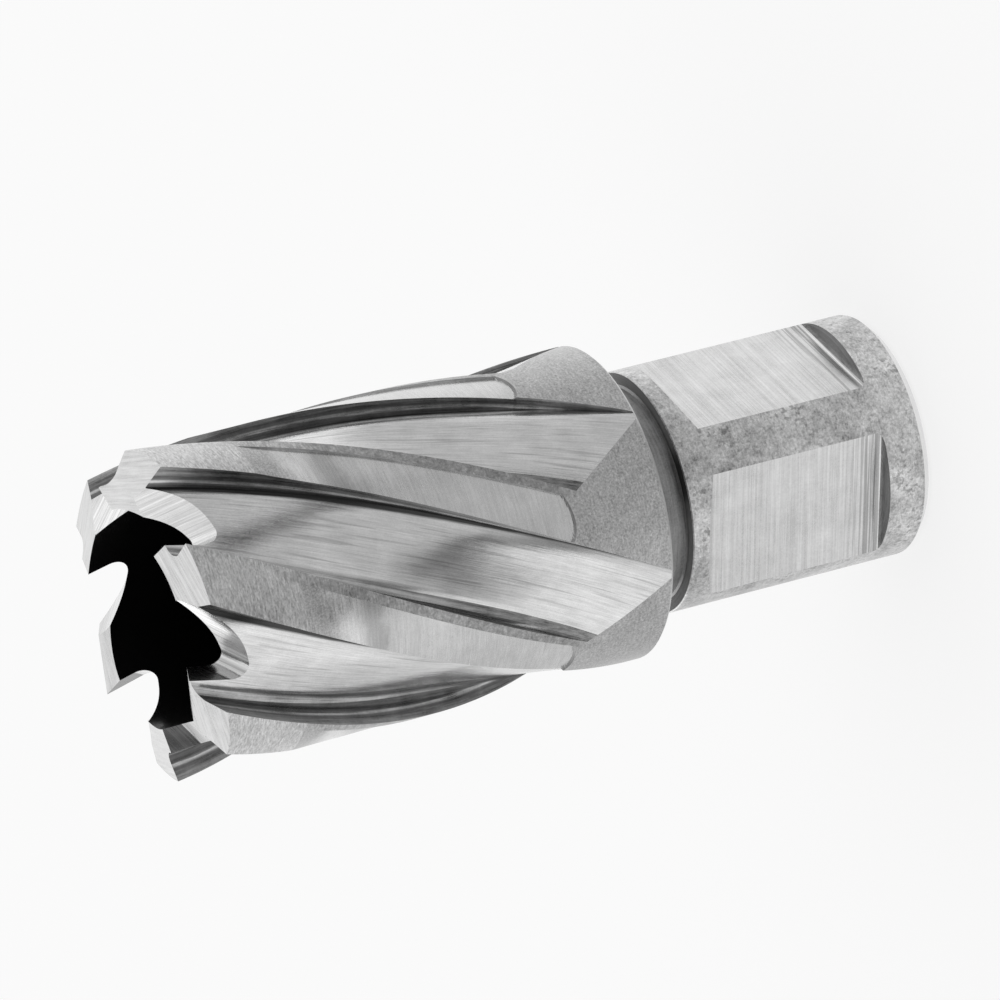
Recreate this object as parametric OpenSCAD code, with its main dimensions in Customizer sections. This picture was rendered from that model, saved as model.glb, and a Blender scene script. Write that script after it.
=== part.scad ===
// Annular cutter for a magnetic drill: a hollow milling cutter with six teeth and right-hand helical flutes.
// It stands on the end of its shank, on z = 0, with its axis on Z and its teeth up. Sizes are in millimetres.

/* [Shank] */
// Diameter of the shank
shank_d = 19.05; // [15:0.05:26]
// Length of the shank, end face to neck
shank_len = 20.7; // [16:0.1:32]
// Chamfer on the end of the shank
shank_chamfer = 0.7; // [0.3:0.1:1.5]
// Depth of the two clamping flats
flat_depth = 1.6; // [0.6:0.1:2.5]
// Length of each clamping flat
flat_len = 14.6; // [8:0.1:15]
// Distance from the end of the shank to the flats
flat_inset = 3.7; // [2:0.1:5]
// Fillet at the foot of a flat's rear wall
flat_fillet = 0.55; // [0.2:0.05:0.6]
// Lean of a flat's front end from upright
flat_lean = 33; // [0:1:45]

/* [Neck] */
// Length of the neck between shank and body
neck_len = 3.1; // [1.5:0.1:6]
// Depth of the neck below the shank
neck_depth = 1.1; // [0.4:0.1:1.6]

/* [Body] */
// Diameter of the plain collar behind the flutes
collar_d = 24.6; // [23.8:0.1:25.2]
// Cutting diameter at the teeth
cut_d = 25.4; // [24.6:0.1:27]
// Length of the body, collar face to tooth crest
body_len = 39.4; // [36:0.1:55]
// Chamfer on the rear rim of the collar
rim_chamfer = 0.25; // [0.1:0.05:0.6]

/* [Core] */
// Diameter of the core bore
core_d = 16.85; // [15:0.05:17.4]
// Depth of the core bore from the tooth crest
core_depth = 34.4; // [26:0.1:35]
// Diameter of the pilot pin hole through the shank
pilot_d = 6.4; // [4:0.1:8]

/* [Flutes] */
// Number of teeth, an even number so that the two kinds alternate
teeth = 6; // [4:2:6]
// Axial length of one full turn of the flutes
flute_lead = 152; // [120:1:260]
// Depth of the flutes at the teeth
flute_depth = 2.5; // [1.8:0.1:2.9]
// Width of the lands around the cutting diameter
land_w = 4.8; // [3.5:0.1:6]
// Fillet between a flute's floor and its leading wall
flute_fillet = 0.8; // [0.5:0.1:1.2]
// Extra depth of a flute's floor at the heel of the land beside it
heel_dip = 0.3; // [0:0.05:0.4]
// Lean of a flute's leading wall under its edge
edge_hook = 1.5; // [0:0.1:3]
// Width of the plain strip along each land's leading edge
strip_w = 1; // [0.5:0.1:1.6]
// Depth of the ground land below the strip at its rear end
land_relief = 0.2; // [0.1:0.02:0.3]
// Distance from the tooth crest to the front end of the ground lands
strip_z = 9; // [6:0.5:14]
// Distance from the collar face to the rear end of the lands
land_start = 8.2; // [7:0.1:10]
// Distance from the collar face to the end of a flute's leading side
flute_start = 6.7; // [5:0.1:8]
// Length over which a flute's floor rises to the collar
runout_len = 14; // [8:0.5:18]

/* [Teeth] */
// Depth of the gullets below the tooth crest
gullet_depth = 4.7; // [3.6:0.1:5.6]
// Radius at the bottom of a gullet
gullet_r = 1.1; // [0.5:0.05:1.4]
// Lean of a gullet's front wall from the axis
rake_lean = 17; // [8:1:24]
// Radius of a gullet's back
gullet_back_r = 6.3; // [5.5:0.1:8]
// Dip of the gullets toward the outside
gullet_dip = 36; // [25:1:42]
// Clearance angle of the tooth ends
clearance = 7; // [4:0.5:10]
// Clearance angle on the outside of a peaked tooth
outer_clearance = 16; // [8:0.5:18]
// Slope of a peaked tooth on the inside of its crest
inner_bevel = 19; // [8:1:25]
// Slope of a peaked tooth on the outside of its crest
outer_bevel = 29; // [20:1:36]
// Slope of a plain tooth toward the outside
plain_bevel = 10; // [5:0.5:15]
// Height of a peaked tooth's crest above a plain tooth at that radius
crest_step = 0.6; // [0.2:0.05:0.8]

/* [Hidden] */
shank_r = shank_d / 2;
neck_r = shank_r - neck_depth;
collar_r = collar_d / 2;
cut_r = cut_d / 2;
core_r = core_d / 2;
body_z = shank_len + neck_len;
tip_z = body_z + body_len;
land_z = body_z + land_start;
pitch = 360 / teeth;
land_a = land_w / cut_r * 180 / PI;
strip_a = strip_w / cut_r * 180 / PI;
flute_a = pitch - land_a;
floor_r = cut_r - flute_depth;
floor_foot = flute_a * 0.34;
heel_span = 8;
crest_r = floor_r + 0.07;
end_turn = 7;
first_edge = 25;
tip_edge = first_edge + 360 * body_len / flute_lead;
rake_edge = tip_edge + 5;
gullet_a = rake_edge - 19;
gullet_x = (core_r + floor_r) / 2;
spare = 1;
steps = 17;

$fn = 120;

// Radius of the unfluted blank at height z.
function blank_r(z) = collar_r + (cut_r - collar_r) * max(0, min(1.06, (z - land_z) / (tip_z - land_z)));

// Height at which the flute's floor meets the collar, at angle t from the leading wall.
function floor_end(t) = body_z + flute_start - (flute_start + 0.4) * t / flute_a;

// Share of the full depth at height z: one in the flute, falling to nothing at its end, negative beyond it.
function floor_share(t, z) =
    let (x = min(1, (z - floor_end(t)) / runout_len)) x > 0 ? 1 - (1 - x) * (1 - x) : max(-0.3, 2 * x);

// Radius of the fluted floor at angle t when its full depth is h.
function sunk_r(t, h, z) = blank_r(z) - h * floor_share(t, z);

// Full depth of the flat floor at angle t, below the blank at height z, with the dip at the heel.
function floor_h(t, z) = blank_r(z) - floor_r / cos(t - floor_foot)
    + heel_dip * pow(max(0, (t - flute_a) / heel_span + 1), 2);

// Radius of the ground land at height z, outside the blank where the land isn't ground.
function land_r(z) = blank_r(z) + (
    z < land_z ? 0.4 : -land_relief * min(1, (tip_z - strip_z - z) / 3));

// Heights of the sections of a flute, with two close together at the rear end of the ground land.
function stations() = let (low = body_z - 1.5, high = tip_z + 1.5, step = (high - low) / steps,
    even = [for (i = [0:steps]) low + i * step],
    marks = [land_z - 0.35, land_z + 0.02, tip_z - strip_z - 3],
    kept = [for (z = even) if (min([for (m = marks) abs(z - m)]) > 0.6) z])
    sorted(concat(kept, marks));

function sorted(v) = len(v) < 2 ? v : let (m = v[floor(len(v) / 2)])
    concat(sorted([for (x = v) if (x < m) x]), [for (x = v) if (x == m) x], sorted([for (x = v) if (x > m) x]));

// One section of the space cut away by a flute and the land ahead of it, as radius and angle from the leading wall.
function section(z) = let (out = blank_r(z) + spare, f = flute_fillet, wall = floor_r + f + 0.1,
    deep = blank_r(z) - wall, strip = pitch - strip_a) concat(
    [[out, 0.4 * edge_hook], [sunk_r(0, deep, z), -edge_hook]],
    [for (b = [22.5:22.5:90]) let (r = wall - f * sin(b), t = f * (1 - cos(b)) / r * 180 / PI - edge_hook)
        [sunk_r(t, blank_r(z) - r, z), t]],
    [for (k = [0:5]) let (t = 6 + (flute_a - 6.4) * k / 5) [sunk_r(t, floor_h(t, z), z), t]],
    [[max(land_r(z), sunk_r(flute_a, floor_h(flute_a, z), z) + 0.05), flute_a + 0.3]],
    [for (k = [1:4]) [land_r(z), flute_a + (strip - flute_a) * k / 4]],
    [[out, strip + 0.3]],
    [for (k = [4:-1:1]) [out + 0.1, strip * k / 5]]);

function turned(z, i) = let (s = section(z), a = first_edge + i * pitch + 360 * (z - body_z) / flute_lead, n = len(s))
    [for (k = [n - 1:-1:0]) [s[k][0] * cos(s[k][1] + a), s[k][0] * sin(s[k][1] + a), z]];

module flute(i) {
    zs = stations();
    rows = [for (z = zs) turned(z, i)];
    m = len(rows[0]);
    n = len(rows);
    polyhedron(
        points = [for (row = rows) for (p = row) p],
        faces = concat([[for (k = [0:m - 1]) k]],
            [for (j = [0:n - 2]) for (k = [0:m - 1]) for (h = [0, 1])
                let (a = j * m + k, b = j * m + (k + 1) % m) h == 0 ? [a, a + m, b + m] : [a, b + m, b]],
            [[for (k = [m - 1:-1:0]) (n - 1) * m + k]]));
}

// Space ahead of a tooth: a rounded pocket through the web, dipping toward the outside.
module gullet(i) {
    bottom = (3.2 - gullet_depth) * cos(gullet_dip);
    rake = tan(rake_lean);
    half = (90 - rake_lean) / 2;
    foot = 2.05;
    reach = gullet_r / tan(half);
    mid = [foot + reach, bottom + gullet_r];
    back = [foot + reach + 0.6, bottom + gullet_back_r];
    rotate([0, 0, gullet_a + i * pitch])
        translate([gullet_x, 0, tip_z - 3.2])
            rotate([0, gullet_dip, 0])
                rotate([90, 0, 90])
                    translate([0, 0, -5])
                        linear_extrude(height = 7.4)
                            polygon(concat(
                                [[back[0] + gullet_back_r, 10], [foot + (10 - bottom) * rake, 10]],
                                [for (k = [0:5]) let (b = 180 - rake_lean + k * (90 + rake_lean) / 5)
                                    mid + gullet_r * [cos(b), sin(b)]],
                                [for (k = [0:9]) back + gullet_back_r * [sin(k * 10), -cos(k * 10)]]));
}

// Space above a tooth: peaked teeth and plain ones take turns round the cutter.
module tooth_end(i) {
    if (i % 2 == 0) {
        end_cut(i, 0, inner_bevel, clearance);
        end_cut(i, 0, -outer_bevel, outer_clearance);
    } else
        end_cut(i, crest_step, -plain_bevel, clearance);
}

// Wedge above one end face, which slopes along the radius and falls away behind the cutting edge.
module end_cut(i, drop, slope, fall) {
    rotate([0, 0, rake_edge - end_turn + i * pitch])
        translate([crest_r * cos(end_turn), crest_r * sin(end_turn), tip_z - drop])
            rotate([fall, 0, 0])
                rotate([90, 0, 0])
                    translate([0, 0, -3])
                        linear_extrude(height = 12)
                            polygon([[-3.6, -3.6 * tan(slope)], [6, 6 * tan(slope)], [6, 8], [-3.6, 8]]);
}

// Pocket of a clamping flat facing +X: a rounded foot at its upright rear wall, and a leaning front end.
module clamp_flat() {
    x = shank_r - flat_depth;
    high = shank_r + spare;
    front = min(flat_inset + flat_len, shank_len - 1.5);
    rotate([90, 0, 0])
        translate([0, 0, -shank_r])
            linear_extrude(height = shank_d)
                polygon(concat(
                    [for (b = [0:22.5:90])
                        [x + flat_fillet * (1 - cos(b)), flat_inset + flat_fillet * (1 - sin(b))]],
                    [[high, flat_inset], [high, front + (high - x) * tan(flat_lean)], [x, front]]));
}

module blank() {
    rotate_extrude()
        polygon([[0, 0], [shank_r - shank_chamfer, 0], [shank_r, shank_chamfer], [shank_r, shank_len],
            [neck_r, shank_len], [neck_r, body_z], [collar_r - rim_chamfer, body_z], [collar_r, body_z + rim_chamfer],
            [collar_r, land_z], [cut_r, tip_z], [0, tip_z]]);
}

module annular_cutter() {
    color([0.72, 0.73, 0.74])
        difference() {
            blank();
            translate([0, 0, tip_z - core_depth])
                cylinder(r = core_r, h = core_depth + spare);
            translate([0, 0, -spare])
                cylinder(d = pilot_d, h = tip_z);
            clamp_flat();
            rotate([0, 0, 90])
                clamp_flat();
            for (i = [0:teeth - 1]) {
                flute(i);
                gullet(i);
                tooth_end(i);
            }
        }
}

annular_cutter();
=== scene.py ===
import math
import bmesh
import bpy
from mathutils import Matrix, Vector


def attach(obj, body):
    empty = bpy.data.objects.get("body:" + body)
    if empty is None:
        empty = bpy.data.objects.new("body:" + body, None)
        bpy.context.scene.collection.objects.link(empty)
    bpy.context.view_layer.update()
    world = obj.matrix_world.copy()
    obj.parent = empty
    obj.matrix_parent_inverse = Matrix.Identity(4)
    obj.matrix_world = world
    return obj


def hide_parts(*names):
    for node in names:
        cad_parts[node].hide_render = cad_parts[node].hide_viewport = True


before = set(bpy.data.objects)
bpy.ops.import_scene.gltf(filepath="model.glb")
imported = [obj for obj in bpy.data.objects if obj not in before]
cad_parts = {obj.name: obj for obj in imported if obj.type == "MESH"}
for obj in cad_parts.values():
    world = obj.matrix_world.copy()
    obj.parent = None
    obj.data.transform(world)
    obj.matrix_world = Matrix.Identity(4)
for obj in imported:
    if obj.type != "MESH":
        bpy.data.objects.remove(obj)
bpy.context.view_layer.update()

mm = 0.001


class Sock:  # a node's output, so that shader maths reads as plain arithmetic
    def __init__(self, tree, socket):
        self.tree = tree
        self.socket = socket

    def __add__(self, other):
        return self.tree.calc("ADD", self, other)

    def __radd__(self, other):
        return self.tree.calc("ADD", other, self)

    def __sub__(self, other):
        return self.tree.calc("SUBTRACT", self, other)

    def __rsub__(self, other):
        return self.tree.calc("SUBTRACT", other, self)

    def __mul__(self, other):
        return self.tree.calc("MULTIPLY", self, other)

    def __rmul__(self, other):
        return self.tree.calc("MULTIPLY", other, self)

    def __truediv__(self, other):
        return self.tree.calc("DIVIDE", self, other)

    def __rtruediv__(self, other):
        return self.tree.calc("DIVIDE", other, self)

    def __pow__(self, other):
        return self.tree.calc("POWER", self, other)

    def atLeast(self, low):
        return self.tree.calc("MAXIMUM", self, low)


class Tree:  # a node tree, with one method that adds any node
    def __init__(self, nodeTree):
        self.nodes = nodeTree.nodes
        self.links = nodeTree.links
        self.nodes.clear()

    def add(self, kind, settings=None, values=None, out=0):
        node = self.nodes.new(kind)
        for name, value in (settings or {}).items():
            setattr(node, name, value)
        for name, value in (values or {}).items():
            if isinstance(value, Sock):
                self.links.new(value.socket, node.inputs[name])
            else:
                node.inputs[name].default_value = value
        return Sock(self, node.outputs[out]) if len(node.outputs) else node

    def calc(self, operation, *values):
        return self.add("ShaderNodeMath", {"operation": operation}, dict(enumerate(values)))

    def smooth(self, value, low, high):  # 0 below low, 1 above high, eased between
        return self.add("ShaderNodeMapRange", {"interpolation_type": "SMOOTHSTEP"},
                        {"Value": value, "From Min": low, "From Max": high})

    def noise(self, vector, scale, detail=2.0, roughness=0.5):
        return self.add("ShaderNodeTexNoise", None,
                        {"Vector": vector, "Scale": scale, "Detail": detail, "Roughness": roughness})

    def vector(self, x, y, z):
        return self.add("ShaderNodeCombineXYZ", None, {"X": x, "Y": y, "Z": z})

    def axes(self, vector):  # x, y and z of a vector
        split = self.add("ShaderNodeSeparateXYZ", None, {0: vector}).socket.node.outputs
        return [Sock(self, socket) for socket in split]

    def dot(self, vector, side):  # how far a vector goes in a direction
        return self.add("ShaderNodeVectorMath", {"operation": "DOT_PRODUCT"}, {0: vector, 1: side}, "Value")

    def rays(self, *kinds):  # one socket for each kind of ray, 1 where such a ray looks at the surface
        path = self.add("ShaderNodeLightPath").socket.node.outputs
        return [Sock(self, path[kind]) for kind in kinds]


def band(gap, flat=2):  # 1 in the middle of a band, a half at a gap of 1, and 0 far from it
    return 1 / (1 + (gap * gap) ** flat)


# sizes of the cutter, in millimetres and degrees, as in the part's source
cutter = {
    "shankR": 9.525, "shankLen": 20.7, "shankChamfer": 0.7, "edgeBreak": 0.08,
    "flatDepth": 1.6, "flatFront": 18.3, "flatRear": 3.7, "flatFillet": 0.55, "flatLean": 33.0,
    "neckR": 8.425, "neckFillet": 0.15,
    "bodyZ": 23.8, "collarR": 12.3, "cutR": 12.7, "tipZ": 63.2, "rimChamfer": 0.25, "widest": 1.06,
    "coreR": 8.425, "coreDepth": 34.4, "pilotR": 3.2, "countersink": 0.25,
    "teeth": 6, "lead": 152.0, "firstEdge": 25.0,
    "fluteDepth": 2.5, "fluteStart": 6.7, "startSkew": 0.4, "runout": 14.0, "runoutClear": 0.3,
    "fillet": 0.8, "wallRise": 0.1, "hook": 1.5, "hookOut": 0.4,
    "floorFrom": 4.2, "floorShort": 4.6, "footShare": 0.34, "heelDip": 0.3, "heelSpan": 8.0,
    "heelWall": 0.05, "heelLean": 0.3,
    "landW": 4.8, "landStart": 8.2, "relief": 0.2, "landCurve": 0.45, "stepSlope": 1.5, "stepClear": 0.4,
    "stripW": 1.0, "stripZ": 9.0, "entryLen": 4.0, "entryClear": 0.1,
    "rakeTurn": 5.0, "rakeLean": 17.0, "gulletLag": 19.0, "gulletDepth": 4.7, "gulletR": 1.1,
    "gulletTop": 10.0, "gulletZ": 3.2, "gulletIn": 5.0, "gulletLen": 7.4,
    "backR": 6.3, "backShift": 0.6, "dip": 36.0, "foot": 2.05,
    "clearance": 7.0, "outerClearance": 16.0, "innerBevel": 19.0, "outerBevel": 29.0, "plainBevel": 10.0,
    "crestStep": 0.6, "crestOut": 0.07, "endTurn": 7.0, "endIn": 3.6, "endOut": 6.0, "endTop": 8.0,
    "endAhead": 3.0, "endLen": 12.0,
    "segments": 300, "coneSteps": 8, "rows": 130, "floorSteps": 18, "landSteps": 12, "flatSteps": 8,
    "smoothAngle": 24.0, "rearFacing": 0.3,
}
c = cutter
pitch = 360 / c["teeth"]
landZ = c["bodyZ"] + c["landStart"]  # rear end of the ground lands
groundZ = c["tipZ"] - c["stripZ"]  # front end of the ground lands
landA = math.degrees(c["landW"] / c["cutR"])
stripA = math.degrees(c["stripW"] / c["cutR"])
fluteA = pitch - landA
floorR = c["cutR"] - c["fluteDepth"]
floorFoot = fluteA * c["footShare"]
rakeEdge = c["firstEdge"] + 360 * (c["tipZ"] - c["bodyZ"]) / c["lead"] + c["rakeTurn"]
gulletTurn = rakeEdge - c["gulletLag"]

# finishes of the steel: grey level, direction of the grain, then how strongly each mark shows; some greys
# and marks are painted shade and painted highlights
everySteel = {"fleckSize": 7.0, "cloudSize": 0.4, "cloudRough": 0.62, "roughLines": 0.12, "roughCloud": 0.10,
              "bump": 0.25, "bumpDepth": 0.004, "coat": 0.6, "coatRough": 0.25, "darkest": 0.002}
pocketGrain = {"grain": "tooth", "ways": "in", "dip": c["dip"],
               "turn": gulletTurn, "middle": gulletTurn + 24}
endGrain = {"grain": "tooth", "ways": "round", "dip": 0.0,
            "turn": gulletTurn + 12, "middle": gulletTurn + 4}
steels = {
    "turned": {"grey": 0.47, "grain": "ring", "fine": 7.0, "long": 1.6,
               "lines": 0.16, "flecks": 0.34, "fleckSize": 6.2, "cloud": 0.07, "rough": 0.36,
               "strip": 0.28, "stripLumps": 1.1, "hatch": 0.9, "calm": 0.55, "paler": 0.26},
    "shank": {"grey": 0.57, "grain": "ring", "fine": 7.0, "long": 2.0,
              "lines": 0.13, "flecks": 0.27, "fleckSize": 4.6, "cloud": 0.38, "cloudSize": 0.26,
              "cloudRough": 0.82, "rough": 0.36, "pits": 0.44},
    "chamfer": {"grey": 0.85, "grain": "ring", "fine": 8.0, "long": 0.3,
                "lines": 0.10, "flecks": 0.03, "cloud": 0.05, "rough": 0.35},
    "rim": {"grey": 0.50, "grain": "ring", "fine": 8.0, "long": 0.3,
            "lines": 0.10, "flecks": 0.03, "cloud": 0.05, "rough": 0.35},
    "endFace": {"grey": 0.60, "grain": "ring", "fine": 7.0, "long": 0.2,
                "lines": 0.14, "flecks": 0.04, "cloud": 0.08, "rough": 0.36},
    "neck": {"grey": 0.26, "grain": "ring", "fine": 5.0, "long": 0.25,
             "lines": 0.22, "flecks": 0.16, "cloud": 0.16, "rough": 0.40},
    # the shank's front face, with painted shade on one side
    "neckStep": {"grey": 0.30, "grain": "ring", "fine": 6.0, "long": 0.2,
                 "lines": 0.22, "flecks": 0.12, "cloud": 0.16, "rough": 0.40,
                 "paintedShade": 0.9, "shadeAt": 37.0, "shadeWidth": 12.0},
    "neckFace": {"grey": 0.16, "grain": "ring", "fine": 7.0, "long": 0.2,
                 "lines": 0.20, "flecks": 0.05, "cloud": 0.10, "rough": 0.45},
    # painted shade: the bore's near-black grey, made paler deeper in by its deep mark
    "bore": {"grey": 0.004, "grain": "ring", "fine": 5.0, "long": 0.4,
             "lines": 0.10, "flecks": 0.05, "cloud": 0.10, "rough": 0.75, "deep": 0.16},
    "boreFloor": {"grey": 0.30, "grain": "ring", "fine": 5.0, "long": 0.3,
                  "lines": 0.22, "flecks": 0.08, "cloud": 0.10, "rough": 0.42},
    # painted shade: the flute walls' near-black grey
    "wall": {"grey": 0.09, "grain": "helix", "fine": 4.0, "long": 0.16,
             "lines": 0.45, "flecks": 0.14, "cloud": 0.30, "rough": 0.30,
             "edgeLight": 1.7, "streak": 4.0, "streakR": 11.5, "streakWidth": 0.11},
    "fillet": {"grey": 0.42, "grain": "helix", "fine": 4.0, "long": 0.12,
               "lines": 0.45, "flecks": 0.10, "cloud": 0.20, "rough": 0.22, "rearShade": 0.45},
    "floor": {"grey": 0.70, "grain": "flute", "fine": 8.0, "long": 0.35,
              "lines": 0.125, "flecks": 0.06, "cloud": 0.07, "rough": 0.08, "grooves": 0.24,
              # foot and heel are painted shade, heelPale is painted light
              "foot": 0.40, "footAt": 3.6, "footWidth": 0.9,
              "heel": 0.93, "heelWidth": 2.7, "heelRear": 0.22, "heelPale": 0.38},
    "land": {"grey": 0.65, "grain": "ring", "fine": 6.0, "long": 0.4,
             "lines": 0.09, "flecks": 0.07, "cloud": 0.06, "rough": 0.26, "front": "turned",
             "entry": 0.30, "entryAt": 5.5, "entryWidth": 0.9, "glint": 0.22, "glintAt": 3.4},
    # painted shade: dark grey for the step at a ground land's rear
    "landRear": {"grey": 0.17, "grain": "ring", "fine": 6.0, "long": 0.7,
                 "lines": 0.20, "flecks": 0.06, "cloud": 0.06, "rough": 0.30},
    "landStep": {"grey": 0.66, "grain": "helix", "fine": 5.0, "long": 0.2,
                 "lines": 0.25, "flecks": 0.10, "cloud": 0.10, "rough": 0.36},
    "gullet": {"grey": 0.68, **pocketGrain, "fine": 4.5, "long": 0.08,
               "lines": 0.20, "flecks": 0.03, "cloud": 0.04, "rough": 0.22},
    "rake": {"grey": 0.15, **pocketGrain, "fine": 4.5, "long": 0.08,
             "lines": 0.25, "flecks": 0.06, "cloud": 0.08, "rough": 0.28},
    "toothEnd": {"grey": 0.62, **endGrain, "fine": 5.0, "long": 0.25,
                 "lines": 0.14, "flecks": 0.05, "cloud": 0.05, "rough": 0.30},
    "flat": {"grey": 0.73, "grain": "across", "fine": 5.5, "long": 0.08,
             "lines": 0.13, "flecks": 0.07, "cloud": 0.07, "rough": 0.30, "streaks": 0.48},
    # painted shade: dark grey for the rear wall of a clamping flat
    "flatEnd": {"grey": 0.155, "grain": "ring", "fine": 5.0, "long": 0.35,
                "lines": 0.40, "flecks": 0.16, "cloud": 0.20, "rough": 0.34},
}
turnedSteels = ("turned", "shank", "chamfer", "rim", "endFace", "neck", "neckStep", "neckFace", "bore",
                "boreFloor")


class Finish:  # one steel of the cutter, drawn from where a point lies on it
    def __init__(self, name, look):
        self.look = {**everySteel, **look}
        self.material = bpy.data.materials.new(name + "Steel")
        self.material.use_nodes = True
        self.tree = Tree(self.material.node_tree)
        spot = self.tree.add("ShaderNodeTexCoord", None, None, "Object")
        self.place = self.tree.add("ShaderNodeVectorMath", {"operation": "SCALE"},
                                   {0: spot, "Scale": 1 / mm})  # in millimetres
        self.x, self.y, self.z = self.tree.axes(self.place)
        self.radius = (self.x * self.x + self.y * self.y) ** 0.5
        self.lines = self.grainLines()
        self.grain = self.spread(self.lines, 1.0, 4.0, 0.7)
        self.flecks = self.spread(self.place, self.look["fleckSize"], 6.0, 0.75)
        self.cloud = self.spread(self.place, self.look["cloudSize"], 5.0, self.look["cloudRough"])

    def spread(self, vector, scale, detail, roughness):  # noise about zero, with a spread of about one
        return (self.tree.noise(vector, scale, detail, roughness) - 0.5) * 7

    def turned(self, angle):  # the place, turned about the cutter's axis
        return self.tree.add("ShaderNodeVectorRotate", {"rotation_type": "Z_AXIS"},
                             {"Vector": self.place, "Angle": angle})

    def unwound(self):  # the place as if the flutes ran straight
        return self.turned(self.z * (-2 * math.pi / c["lead"]))

    def angle(self, x, y):  # degrees about the cutter's axis
        return self.tree.calc("ARCTAN2", y, x) * (180 / math.pi)

    def fluteTurn(self):  # degrees from the leading wall of a flute
        x, y, z = self.tree.axes(self.unwound())
        start = 360 / c["lead"] * c["bodyZ"] - c["firstEdge"] + 8 * pitch  # keeps it above zero
        return self.tree.calc("MODULO", self.angle(x, y) + start, pitch)

    def along(self, start, end):  # 0 to 1 between two heights above the rear of the body
        return self.tree.smooth(self.z, c["bodyZ"] + start, c["bodyZ"] + end)

    def grainLines(self):  # places for the grain's noise, drawn out along its lines
        fine, far = self.look["fine"], self.look["long"]
        if self.look["grain"] == "ring":
            return self.tree.vector(self.x * far + self.radius * fine, self.y * far, self.z * fine)
        if self.look["grain"] == "across":
            return self.tree.vector(self.x * far, self.y * far, self.z * fine)
        if self.look["grain"] == "tooth":
            return self.toothLines(fine, far)
        if self.look["grain"] == "helix":
            return self.tree.add("ShaderNodeVectorMath", {"operation": "MULTIPLY"},
                                 {0: self.unwound(), 1: (fine, fine, far)})
        x, y, z = self.tree.axes(self.unwound())  # the same lines at every depth of a flute
        wide = 11 * fine  # at about the radius of a flute's floor
        return self.tree.vector(x / self.radius * wide, y / self.radius * wide, self.z * far)

    def toothLines(self, fine, far):  # straight lines in each tooth's own frame
        tooth = self.tree.calc("ROUND", (self.angle(self.x, self.y) - self.look["middle"]) / pitch)
        turn = (tooth * pitch + self.look["turn"]) * (-math.pi / 180)
        x, y, z = self.tree.axes(self.turned(turn))
        down = math.sin(math.radians(self.look["dip"]))
        level = math.cos(math.radians(self.look["dip"]))
        lengthwise = x * level - z * down
        height = x * down + z * level
        other = tooth * 7.3  # so that no two teeth have the same lines
        if self.look["ways"] == "in":
            return self.tree.vector(y * fine + other, height * fine, lengthwise * far)
        return self.tree.vector(y * far + other, height * far, lengthwise * fine)

    def strip(self, grey):  # darker strip along the leading edge of a land
        edge = pitch - stripA
        inside = self.tree.smooth(self.fluteTurn(), edge - 0.3, edge)
        ends = self.tree.smooth(self.z, landZ - 1, landZ)
        ends = ends * (1 - self.tree.smooth(self.z, groundZ - 2, groundZ + 3))
        lumps = self.look["stripLumps"] * (self.tree.noise(self.place, 2.2, 4.0, 0.6) - 0.5)
        return grey * (1 - inside * ends * (self.look["strip"] + lumps))

    def grooves(self, grey):  # single deeper lines among the fine ones
        groove = self.tree.smooth(self.tree.noise(self.lines, 0.42, 1.0), 0.58, 0.70)
        return grey * (1 - self.look["grooves"] * groove)

    def entry(self, grey):  # light and shade of the hollow in which the ground part of a land starts
        into = groundZ - self.z + 0.25 * self.cloud
        glint = self.look["glint"] * band(into - self.look["glintAt"])
        shade = self.look["entry"] * band((into - self.look["entryAt"]) / self.look["entryWidth"])
        return grey * (1 + glint - shade)

    def pits(self, grey):  # small dark pits in loose groups
        pit = self.tree.smooth(self.tree.noise(self.place, 2.6, 2.0), 0.53, 0.64)
        group = self.tree.smooth(self.tree.noise(self.place, 0.28, 3.0), 0.42, 0.60)
        return grey * (1 - self.look["pits"] * (pit * group))

    def rearShade(self, grey):  # darker toward the rear end of the flutes
        return grey * (1 - self.look["rearShade"] * (1 - self.along(12, 28)))

    def paintedShade(self, grey):  # painted shade: a dark patch on one side, where this face mirrors the shaded rear face of the collar
        gap = (self.angle(self.x, self.y) - self.look["shadeAt"] + self.grain) / self.look["shadeWidth"]
        return grey * (1 - self.look["paintedShade"] * band(gap, 4))

    def streaks(self, grey):  # chatter lines that thicken toward the rear wall of a flat
        near = 1 - self.tree.smooth(self.z, c["flatRear"] + 0.2, c["flatRear"] + 4.4)
        streak = self.tree.smooth(self.tree.noise(self.lines, 0.9, 2.0) + 0.11 * near, 0.54, 0.66)
        return grey * (1 - self.look["streaks"] * near * streak)

    def foot(self, grey):  # painted shade: a dark line where a flute's floor meets its fillet
        gap = (self.fluteTurn() - self.look["footAt"]) / self.look["footWidth"]
        return grey * (1 - self.look["foot"] * self.along(16, 28) * band(gap))

    def heel(self, grey):  # painted shade: dark side of a floor at the heel of a land, wider toward the teeth
        rear = self.look["heelRear"]
        wide = self.look["heelWidth"] * (rear + (1 - rear) * self.along(6, 26))
        dark = self.tree.smooth(self.fluteTurn() + wide + 0.25 * self.grain, fluteA - 0.9, fluteA + 0.5)
        return grey * (1 - self.look["heel"] * (dark * self.along(-2, 4)))

    def heelPale(self, grey):  # painted light: paler floor beside the rear of the heel
        pale = self.tree.smooth(self.fluteTurn(), fluteA - 9, fluteA - 3)
        return grey * (1 + self.look["heelPale"] * (pale * self.along(3, 9) * (1 - self.along(10, 20))))

    def deep(self, grey):  # paler deep inside
        inside = 1 - self.tree.smooth(self.z, c["tipZ"] - 25, c["tipZ"] - 13)
        return grey + self.look["deep"] * (1 + 0.3 * self.grain) * inside

    def edgeLight(self, grey):  # painted highlight: a wall is lighter near its edge, with a bright line along it
        light = self.look["edgeLight"] * self.tree.smooth(self.radius + 0.12 * self.grain, 11.7, 12.5)
        gap = (self.radius + 0.05 * self.grain - self.look["streakR"]) / self.look["streakWidth"]
        return grey * (1 + light + self.look["streak"] * band(gap))

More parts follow.
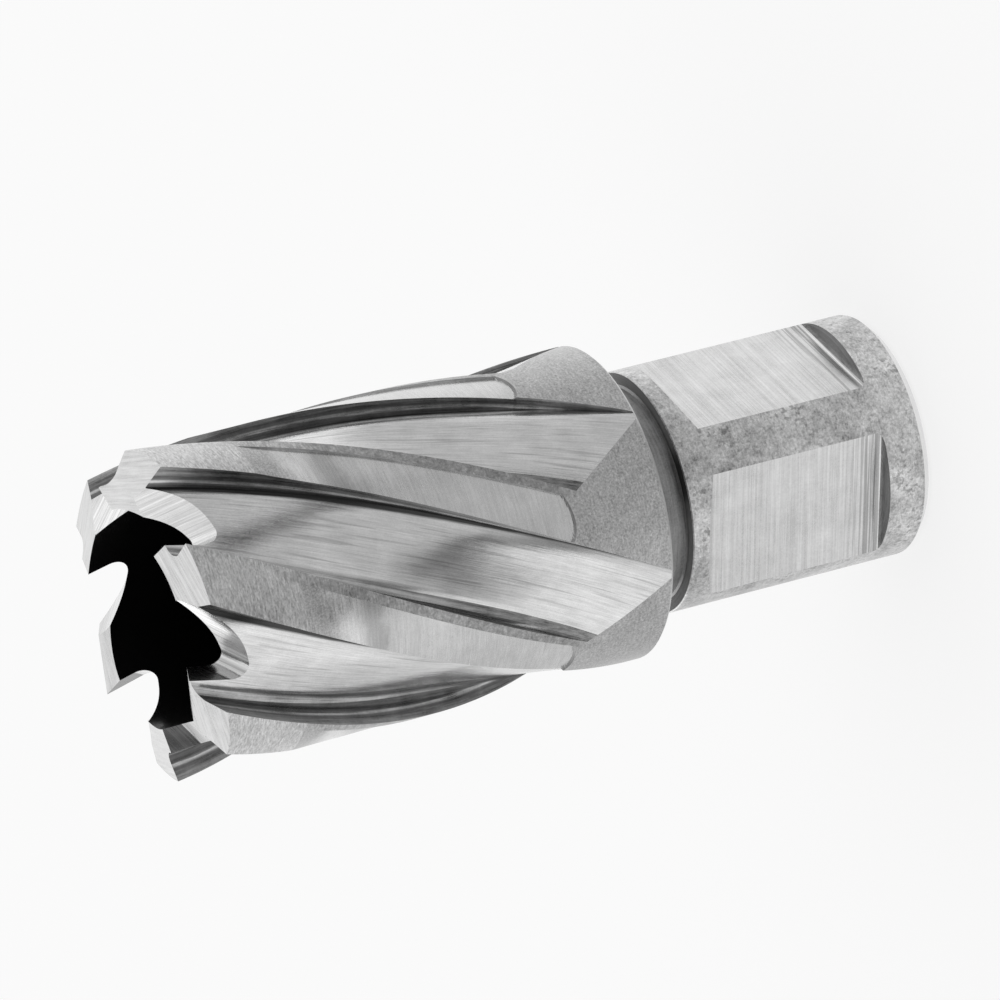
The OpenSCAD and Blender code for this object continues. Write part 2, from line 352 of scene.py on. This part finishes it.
    def marked(self, grey):  # adds the marks that this finish has
        marks = {"strip": self.strip, "grooves": self.grooves, "entry": self.entry, "pits": self.pits,
                 "rearShade": self.rearShade, "paintedShade": self.paintedShade, "streaks": self.streaks,
                 "foot": self.foot, "heel": self.heel, "heelPale": self.heelPale, "deep": self.deep,
                 "edgeLight": self.edgeLight}
        for name, mark in marks.items():
            if name in self.look:
                grey = mark(grey)
        return grey

    def strengths(self):  # how strongly each kind of grain shows, which changes along a land
        look = self.look
        show = {word: look[word] for word in ("grey", "lines", "flecks", "cloud", "rough")}
        if "hatch" in look:  # coarser turning marks between the flutes than on the collar
            onLand = self.tree.smooth(self.z, landZ + 6, groundZ)
            show["lines"] = look["lines"] * (1 + look["hatch"] * onLand)
            show["flecks"] = look["flecks"] * (1 - look["calm"] * onLand)
            show["grey"] = look["grey"] * (1 + look["paler"] * onLand)
        if "front" in look:  # soft change from the turned front of a land to its ground part
            ground = self.tree.smooth(groundZ - self.z + 0.5 * self.cloud, 0.8, 4.2)
            for word in show:
                start = steels[look["front"]][word]
                show[word] = start + (look[word] - start) * ground
        return show

    def shaded(self):  # the material with its shader
        look, show = self.look, self.strengths()
        grey = 1 + show["lines"] * self.grain + show["flecks"] * self.flecks + show["cloud"] * self.cloud
        grey = self.marked(show["grey"] * grey)
        rough = show["rough"] * (1 + look["roughLines"] * self.grain + look["roughCloud"] * self.cloud)
        bump = self.tree.add("ShaderNodeBump", None, {"Strength": look["bump"], "Height": self.grain,
                                                      "Distance": look["bumpDepth"] * mm})
        surface = self.tree.add("ShaderNodeBsdfPrincipled", None, {
            "Base Color": grey.atLeast(look["darkest"]), "Metallic": 1.0, "Roughness": rough, "Normal": bump,
            "Coat Weight": look["coat"], "Coat Roughness": look["coatRough"]})
        self.tree.add("ShaderNodeOutputMaterial", None, {"Surface": surface})
        return self.material


finishes = {name: Finish(name, look).shaded() for name, look in steels.items()}
slotOf = {name: i for i, name in enumerate(finishes)}
print("finishes made:", len(finishes))


def solid(name, points, faces, marks):  # closed mesh in metres, with one finish for each face
    mesh = bpy.data.meshes.new(name)
    mesh.from_pydata([tuple(v * mm for v in p) for p in points], [], faces)
    for face, mark in zip(mesh.polygons, marks):
        face.material_index = slotOf[mark]
    work = bmesh.new()
    work.from_mesh(mesh)
    bmesh.ops.recalc_face_normals(work, faces=work.faces)
    work.to_mesh(mesh)
    work.free()
    return mesh


def joined(name, meshes):  # several closed meshes as one object
    work = bmesh.new()
    for mesh in meshes:
        work.from_mesh(mesh)
    mesh = bpy.data.meshes.new(name)
    work.to_mesh(mesh)
    work.free()
    for finish in finishes.values():
        mesh.materials.append(finish)
    thing = bpy.data.objects.new(name, mesh)
    bpy.context.scene.collection.objects.link(thing)
    return thing


def blankR(z):  # radius of the body, which widens from the collar to the teeth
    share = (z - landZ) / (c["tipZ"] - landZ)
    return c["collarR"] + (c["cutR"] - c["collarR"]) * max(0, min(c["widest"], share))


def blankProfile():  # radius, height, finish of the side that starts there
    edge, root = c["edgeBreak"], c["neckFillet"]
    top = c["tipZ"] + 0.2  # a little past the teeth, whose ends are cut later
    boreZ = c["tipZ"] - c["coreDepth"]
    profile = [
        (c["pilotR"] + c["countersink"], 0, "endFace"),
        (c["shankR"] - c["shankChamfer"], 0, "chamfer"),
        (c["shankR"], c["shankChamfer"], "shank"),
        (c["shankR"], c["shankLen"] - edge, "shank"),
        (c["shankR"] - edge, c["shankLen"], "neckStep"),
        (c["neckR"] + root, c["shankLen"], "neck"),
        (c["neckR"], c["shankLen"] + root, "neck"),
        (c["neckR"], c["bodyZ"] - root, "neck"),
        (c["neckR"] + root, c["bodyZ"], "neckFace"),
        (c["collarR"] - c["rimChamfer"], c["bodyZ"], "rim"),
        (c["collarR"], c["bodyZ"] + c["rimChamfer"], "turned"),
        (c["collarR"], landZ, "turned"),
    ]
    for k in range(1, c["coneSteps"] + 1):
        z = landZ + (top - landZ) * k / c["coneSteps"]
        profile.append((blankR(z), z, "turned"))
    profile += [
        (c["coreR"], top, "bore"),
        (c["coreR"], boreZ, "boreFloor"),
        (c["pilotR"], boreZ, "bore"),
        (c["pilotR"], c["countersink"], "chamfer"),
    ]
    return profile


def turnedBlank():  # the lathe-turned blank with its core bore and pilot hole
    profile = blankProfile()
    n, m = c["segments"], len(profile)
    points, faces, marks = [], [], []
    for i in range(n):
        a = 2 * math.pi * (i + 0.5) / n  # half a step on, clear of the tips of the flutes' walls
        points += [(r * math.cos(a), r * math.sin(a), z) for r, z, mark in profile]
    for i in range(n):
        for k in range(m):
            here, beside = i * m, (i + 1) % n * m
            faces.append((here + k, beside + k, beside + (k + 1) % m, here + (k + 1) % m))
            marks.append(profile[k][2])
    return solid("turnedBlank", points, faces, marks)


def floorShare(t, z):  # share of the flute's full depth, negative past its rear end to stand clear there
    start = c["bodyZ"] + c["fluteStart"] - (c["fluteStart"] + c["startSkew"]) * t / fluteA
    x = min(1, (z - start) / c["runout"])
    return 1 - (1 - x) ** 2 if x > 0 else max(-c["runoutClear"], 2 * x)


def sunkR(t, depth, z):  # radius at a depth of the flute, which runs out on the collar
    return blankR(z) - depth * floorShare(t, z)


def landR(t, z):  # ground land: a hollow entry at the front, a curved step at the rear
    middle = (2 * t - fluteA - pitch + stripA) / (pitch - stripA - fluteA)
    rear = landZ - c["landCurve"] * (1 - middle ** 2)
    if z < rear:
        return blankR(z) + min(c["stepClear"], (rear - z) * c["stepSlope"] - c["relief"])
    x = (groundZ - z) / c["entryLen"]
    return blankR(z) - (c["relief"] * (1 - (1 - min(1, x)) ** 2) if x > 0 else c["entryClear"] * x)


def floorAt(t):  # radius of a flute's floor, which dips toward the heel of the land behind it
    dip = max(0, (t - fluteA) / c["heelSpan"] + 1)
    return floorR / math.cos(math.radians(t - floorFoot)) - c["heelDip"] * dip ** 2


def fluteSection(z):  # radius, angle from the leading wall, finish of the side that starts there
    blank, fillet = blankR(z), c["fillet"]
    out = blank + 1  # clear of the blank
    wall = floorR + fillet + c["wallRise"]
    strip = pitch - stripA
    side = [(out, c["hookOut"] * c["hook"], "wall"), (sunkR(0, blank - wall, z), -c["hook"], "wall")]
    for k in range(1, 10):
        b = math.radians(10 * k)
        r = wall - fillet * math.sin(b)
        t = math.degrees(fillet * (1 - math.cos(b)) / r) - c["hook"]
        side.append((sunkR(t, blank - r, z), t, "wall" if k < 4 else "fillet" if k < 9 else "floor"))
    steps = c["floorSteps"]
    for k in range(steps + 1):
        t = c["floorFrom"] + (fluteA - c["floorShort"]) * k / steps
        side.append((sunkR(t, blank - floorAt(t), z), t, "floor" if k < steps else "wall"))
    heel = sunkR(fluteA, blank - floorAt(fluteA), z) + c["heelWall"]
    side.append((max(landR(fluteA, z), heel), fluteA + c["heelLean"], "land"))
    steps = c["landSteps"]
    for k in range(1, steps + 1):
        t = fluteA + (strip - fluteA) * k / steps
        side.append((landR(t, z), t, "land" if k < steps else "landStep"))
    side.append((out, strip + 0.3, "wall"))
    side += [(out + 0.1, strip * k / 10, "wall") for k in range(9, 0, -1)]  # back outside the blank
    return side


def fluteHeights():  # even rows, with close ones across the rear ends of the lands
    low, high = c["bodyZ"] - 1.5, c["tipZ"] + 1.5  # past both ends of the body
    even = [low + (high - low) * k / c["rows"] for k in range(c["rows"] + 1)]
    close = [landZ - 0.7 + 0.04 * k for k in range(21)]
    return sorted([z for z in even if abs(z - landZ + 0.25) > 0.5] + close)


def fluteSpace(i):  # what one flute and its land take out of the blank, wound along the helix
    heights = fluteHeights()
    rows = len(heights) - 1
    points, faces, marks = [], [], []
    for z in heights:
        turn = c["firstEdge"] + i * pitch + 360 * (z - c["bodyZ"]) / c["lead"]
        for r, t, mark in fluteSection(z):
            a = math.radians(t + turn)
            points.append((r * math.cos(a), r * math.sin(a), z))
    names = [mark for r, t, mark in fluteSection(c["tipZ"])]
    m = len(names)
    for j in range(rows):
        for k in range(m):
            a, b = j * m + k, j * m + (k + 1) % m
            faces += [(a, b, b + m), (a, b + m, a + m)]
            marks += [names[k]] * 2
    faces += [tuple(range(m)), tuple(range(rows * m, (rows + 1) * m))]
    return solid("fluteSpace", points, faces, marks + ["wall"] * 2)


def prism(name, outline, length, place, marks):  # outline in x and y, drawn out along z, then put in place
    n = len(outline)
    points = [place @ Vector((x, y, h)) for h in (0, length) for x, y in outline]
    faces = [(k, (k + 1) % n, n + (k + 1) % n, n + k) for k in range(n)]
    faces += [tuple(range(n - 1, -1, -1)), tuple(range(n, 2 * n))]
    return solid(name, [tuple(p) for p in points], faces, list(marks) + [marks[0]] * 2)


def turnBy(angle, axis):
    return Matrix.Rotation(math.radians(angle), 4, axis)


def gulletSpace(i):  # rounded pocket ahead of a tooth
    lean, small, large, top = c["rakeLean"], c["gulletR"], c["backR"], c["gulletTop"]
    bottom = (c["gulletZ"] - c["gulletDepth"]) * math.cos(math.radians(c["dip"]))
    reach = small / math.tan(math.radians((90 - lean) / 2))
    middle = (c["foot"] + reach, bottom + small)
    behind = (c["foot"] + reach + c["backShift"], bottom + large)
    outline = [(behind[0] + large, top), (c["foot"] + (top - bottom) * math.tan(math.radians(lean)), top)]
    for k in range(13):
        b = math.radians(180 - lean + k * (90 + lean) / 12)
        outline.append((middle[0] + small * math.cos(b), middle[1] + small * math.sin(b)))
    for k in range(31):
        b = math.radians(3 * k)
        outline.append((behind[0] + large * math.sin(b), behind[1] - large * math.cos(b)))
    place = (turnBy(gulletTurn + i * pitch, "Z")
             @ Matrix.Translation(((c["coreR"] + floorR) / 2, 0, c["tipZ"] - c["gulletZ"]))
             @ turnBy(c["dip"], "Y") @ turnBy(90, "Z") @ turnBy(90, "X")
             @ Matrix.Translation((0, 0, -c["gulletIn"])))
    marks = ["gullet", "rake"] + ["gullet"] * (len(outline) - 2)
    return prism("gulletSpace", outline, c["gulletLen"], place, marks)


def endSpace(i, drop, slope, fall):  # wedge above one face of a tooth's end
    crest, turn = floorR + c["crestOut"], math.radians(c["endTurn"])
    rise = math.tan(math.radians(slope))
    near, far, top = -c["endIn"], c["endOut"], c["endTop"]
    outline = [(near, near * rise), (far, far * rise), (far, top), (near, top)]
    place = (turnBy(rakeEdge - c["endTurn"] + i * pitch, "Z")
             @ Matrix.Translation((crest * math.cos(turn), crest * math.sin(turn), c["tipZ"] - drop))
             @ turnBy(fall, "X") @ turnBy(90, "X") @ Matrix.Translation((0, 0, -c["endAhead"])))
    return prism("endSpace", outline, c["endLen"], place, ["toothEnd"] * 4)


def endSpaces(i):  # two slopes on a peaked tooth, one on a plain tooth
    if i % 2 == 0:
        return [joined("endIn", [endSpace(i, 0, c["innerBevel"], c["clearance"])]),
                joined("endOut", [endSpace(i, 0, -c["outerBevel"], c["outerClearance"])])]
    return [joined("endPlain", [endSpace(i, c["crestStep"], -c["plainBevel"], c["clearance"])])]


def flatSpace(turn):  # pocket of a clamping flat: rounded foot at the rear wall, leaning front end
    low, fillet, high = c["shankR"] - c["flatDepth"], c["flatFillet"], c["shankR"] + 1
    lean = math.tan(math.radians(c["flatLean"]))
    outline = []
    for k in range(c["flatSteps"] + 1):
        b = math.radians(90 * k / c["flatSteps"])
        outline.append((low + fillet * (1 - math.cos(b)), c["flatRear"] + fillet * (1 - math.sin(b))))
    outline += [(high, c["flatRear"]), (high, c["flatFront"] + (high - low) * lean), (low, c["flatFront"])]
    half = c["flatSteps"] // 2  # the steeper half of the foot and the rear wall get the dark flatEnd grey, which is painted shade
    marks = ["flat"] * half + ["flatEnd"] * (half + 1) + ["flat"] * 3
    place = turnBy(turn, "Z") @ turnBy(90, "X") @ Matrix.Translation((0, 0, -c["shankR"]))
    return prism("flatSpace", outline, 2 * c["shankR"], place, marks)


def cutAway(body, spaces):  # takes the spaces out of the body, and removes them
    for space in spaces:
        cut = body.modifiers.new(space.name, "BOOLEAN")
        cut.operation = "DIFFERENCE"
        cut.solver = "MANIFOLD"
        cut.object = space
    bpy.context.view_layer.update()
    shaped = bpy.data.meshes.new_from_object(body.evaluated_get(bpy.context.evaluated_depsgraph_get()))
    body.modifiers.clear()
    body.data = shaped
    for space in spaces:
        bpy.data.objects.remove(space)


def sharpened(mesh):  # smooth surfaces, with crisp edges where a cut surface meets a turned one
    for face in mesh.polygons:
        face.use_smooth = True
        # painted shade: land faces turned toward the teeth, the step at a land's rear, get the dark landRear
        # grey
        if face.material_index == slotOf["land"] and face.normal.z > c["rearFacing"]:
            face.material_index = slotOf["landRear"]
    mesh.set_sharp_from_angle(angle=math.radians(c["smoothAngle"]))
    turnedSlots = {slotOf[name] for name in turnedSteels}
    work = bmesh.new()
    work.from_mesh(mesh)
    for edge in work.edges:
        if len({face.material_index in turnedSlots for face in edge.link_faces}) == 2:
            edge.smooth = False
    work.to_mesh(mesh)
    work.free()


body = joined("annularCutter", [turnedBlank()])
spaces = []
for i in range(c["teeth"]):
    spaces += endSpaces(i)
flutes = joined("flutes", [fluteSpace(i) for i in range(c["teeth"])])
gullets = joined("gullets", [gulletSpace(i) for i in range(c["teeth"])])
flats = [joined("flatX", [flatSpace(0)]), joined("flatY", [flatSpace(90)])]
cutAway(body, [flutes, gullets] + spaces + flats)
sharpened(body.data)
print("cutter shaped:", len(body.data.vertices), "points,", len(body.data.polygons), "faces")
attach(body, "root")
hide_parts("annular_cutter")

# the white set in metres: its floor with the dark edges that the steel mirrors, its sky and its lamps
studio = {
    "floorHalf": 3.0, "floorGrey": 0.9, "floorGlow": 0.7, "mirrorGlow": 0.95,
    "desk": {"sides": [{"side": (0.259, 0.966, 0.0), "at": 0.03}, {"side": (0.70, 0.714, 0.0), "at": 0.0}],
             "width": 0.03, "dark": 0.40},
    # painted shadow: the mirrored floor is darker near the cutter
    "mirroredShadow": {"place": (0.03, -0.09, 0.0), "inner": 0.03, "outer": 0.15, "dark": 0.30},
    "edges": [{"side": (-0.643, 0.766, 0.0), "at": 0.098, "width": 0.016, "soft": 0.016, "dark": 0.90,
               "start": 0.06},
              {"side": (-0.643, 0.766, 0.0), "at": 0.070, "width": 0.006, "soft": 0.006, "dark": 0.70,
               "start": 0.16},
              {"side": (0.19, 0.982, 0.0), "at": 0.042, "width": 0.015, "soft": 0.030, "dark": 0.66,
               "start": 0.06}],
    "edgeFade": 0.06,
    "sky": 1.0, "front": 0.3, "near": 0.97, "far": 0.72,
    "lamps": {"keyBox": {"side": (-0.75, 0.45, 0.3), "power": 0.12},
              "lowBox": {"side": (-0.1, -0.70, -0.70), "power": 0.35}},
    "lampSize": 0.6, "lampDistance": 0.6, "lampAim": (0, 0, 0.035),
}
view = {"place": (0.5217958, 0.3555537, 0.2974721), "right": (0.448494, 0.008232, -0.893748),
        "up": (-0.46488, 0.856203, -0.225397), "lens": 324.0, "sensor": 36.0, "farthest": 50.0}


def mirrorShade(tree):  # grey of the floor as the steel mirrors it
    spot = tree.add("ShaderNodeTexCoord", None, None, "Object")
    desk, near = studio["desk"], studio["mirroredShadow"]
    corner = desk["dark"]
    for edge in desk["sides"]:  # the darker corner of the set
        low, high = edge["at"] - desk["width"], edge["at"] + desk["width"]
        corner = corner * tree.smooth(tree.dot(spot, edge["side"]), low, high)
    # painted shadow: the floor as the steel mirrors it is darker near the cutter, in place of the cutter's
    # shadow
    away = tree.add("ShaderNodeVectorMath", {"operation": "DISTANCE"}, {0: spot, 1: near["place"]}, "Value")
    grey = (1 - corner) * (1 - near["dark"] * (1 - tree.smooth(away, near["inner"], near["outer"])))
    for line in studio["edges"]:  # dark edges of the set, which streak the mirrored floor
        across, start = line["side"], line["start"]
        beyond = tree.dot(spot, across) - line["at"]
        gap = beyond.atLeast(0) / line["soft"] + (0 - beyond).atLeast(0) / line["width"]
        lengthwise = tree.dot(spot, (across[1], -across[0], 0.0))
        reach = tree.smooth(lengthwise, start, start + studio["edgeFade"])
        grey = grey * (1 - line["dark"] * reach * band(gap))
    return grey


def whitePaper():  # white to the camera, streaked where it is mirrored, matt under the object's shadow
    paper = bpy.data.materials.new("whitePaper")
    paper.use_nodes = True
    tree = Tree(paper.node_tree)
    seen, mirrored, through = tree.rays("Is Camera Ray", "Is Glossy Ray", "Is Transmission Ray")
    glow = tree.add("ShaderNodeEmission", None,
                    {"Color": 1 - mirrored * (1 - mirrorShade(tree)), "Strength": 1.0})
    matt = tree.add("ShaderNodeBsdfDiffuse", None, {"Color": (studio["floorGrey"],) * 3 + (1,)})
    share = (seen.atLeast(through) * studio["floorGlow"]).atLeast(mirrored * studio["mirrorGlow"])
    mixed = tree.add("ShaderNodeMixShader", None, {0: share, 1: matt, 2: glow})
    tree.add("ShaderNodeOutputMaterial", None, {"Surface": mixed})
    return paper


half = studio["floorHalf"]
floorMesh = bpy.data.meshes.new("floor")
corners = [(-half, -half, 0), (half, -half, 0), (half, half, 0), (-half, half, 0)]
floorMesh.from_pydata(corners, [], [(0, 1, 2, 3)])
floorMesh.materials.append(whitePaper())
floor = bpy.data.objects.new("floor", floorMesh)
bpy.context.scene.collection.objects.link(floor)

right, up = Vector(view["right"]).normalized(), Vector(view["up"]).normalized()
back = right.cross(up)
camera = bpy.data.objects.new("camera", bpy.data.cameras.new("camera"))
camera.data.sensor_width = view["sensor"]
camera.data.lens = view["lens"]
camera.data.clip_end = view["farthest"]
camera.matrix_world = Matrix((right, up, back)).transposed().to_4x4()
camera.matrix_world.translation = view["place"]
bpy.context.scene.collection.objects.link(camera)
bpy.context.scene.camera = camera

world = bpy.data.worlds.new("studio")  # white sky, darker in front of the cutter
bpy.context.scene.world = world
world.use_nodes = True
tree = Tree(world.node_tree)
direction = tree.add("ShaderNodeTexCoord", None, None, "Generated")
toFront = tree.smooth(tree.dot(direction, tuple(back)), studio["far"], studio["near"])
shade = studio["sky"] + (studio["front"] - studio["sky"]) * toFront
seen, through = tree.rays("Is Camera Ray", "Is Transmission Ray")
sky = tree.add("ShaderNodeBackground", None,
               {"Color": shade.atLeast(seen).atLeast(through), "Strength": 1.0})
tree.add("ShaderNodeOutputWorld", None, {"Surface": sky})

for name, box in studio["lamps"].items():  # a lamp's side is right, up and back as the camera sees it
    lamp = bpy.data.lights.new(name, "AREA")
    lamp.shape = "DISK"
    lamp.size = studio["lampSize"]
    lamp.energy = box["power"]
    softbox = bpy.data.objects.new(name, lamp)
    side = (right * box["side"][0] + up * box["side"][1] + back * box["side"][2]).normalized()
    softbox.location = Vector(studio["lampAim"]) + side * studio["lampDistance"]
    softbox.rotation_euler = side.to_track_quat("Z", "Y").to_euler()
    bpy.context.scene.collection.objects.link(softbox)
bpy.context.scene.view_settings.view_transform = "Standard"
print("studio set")
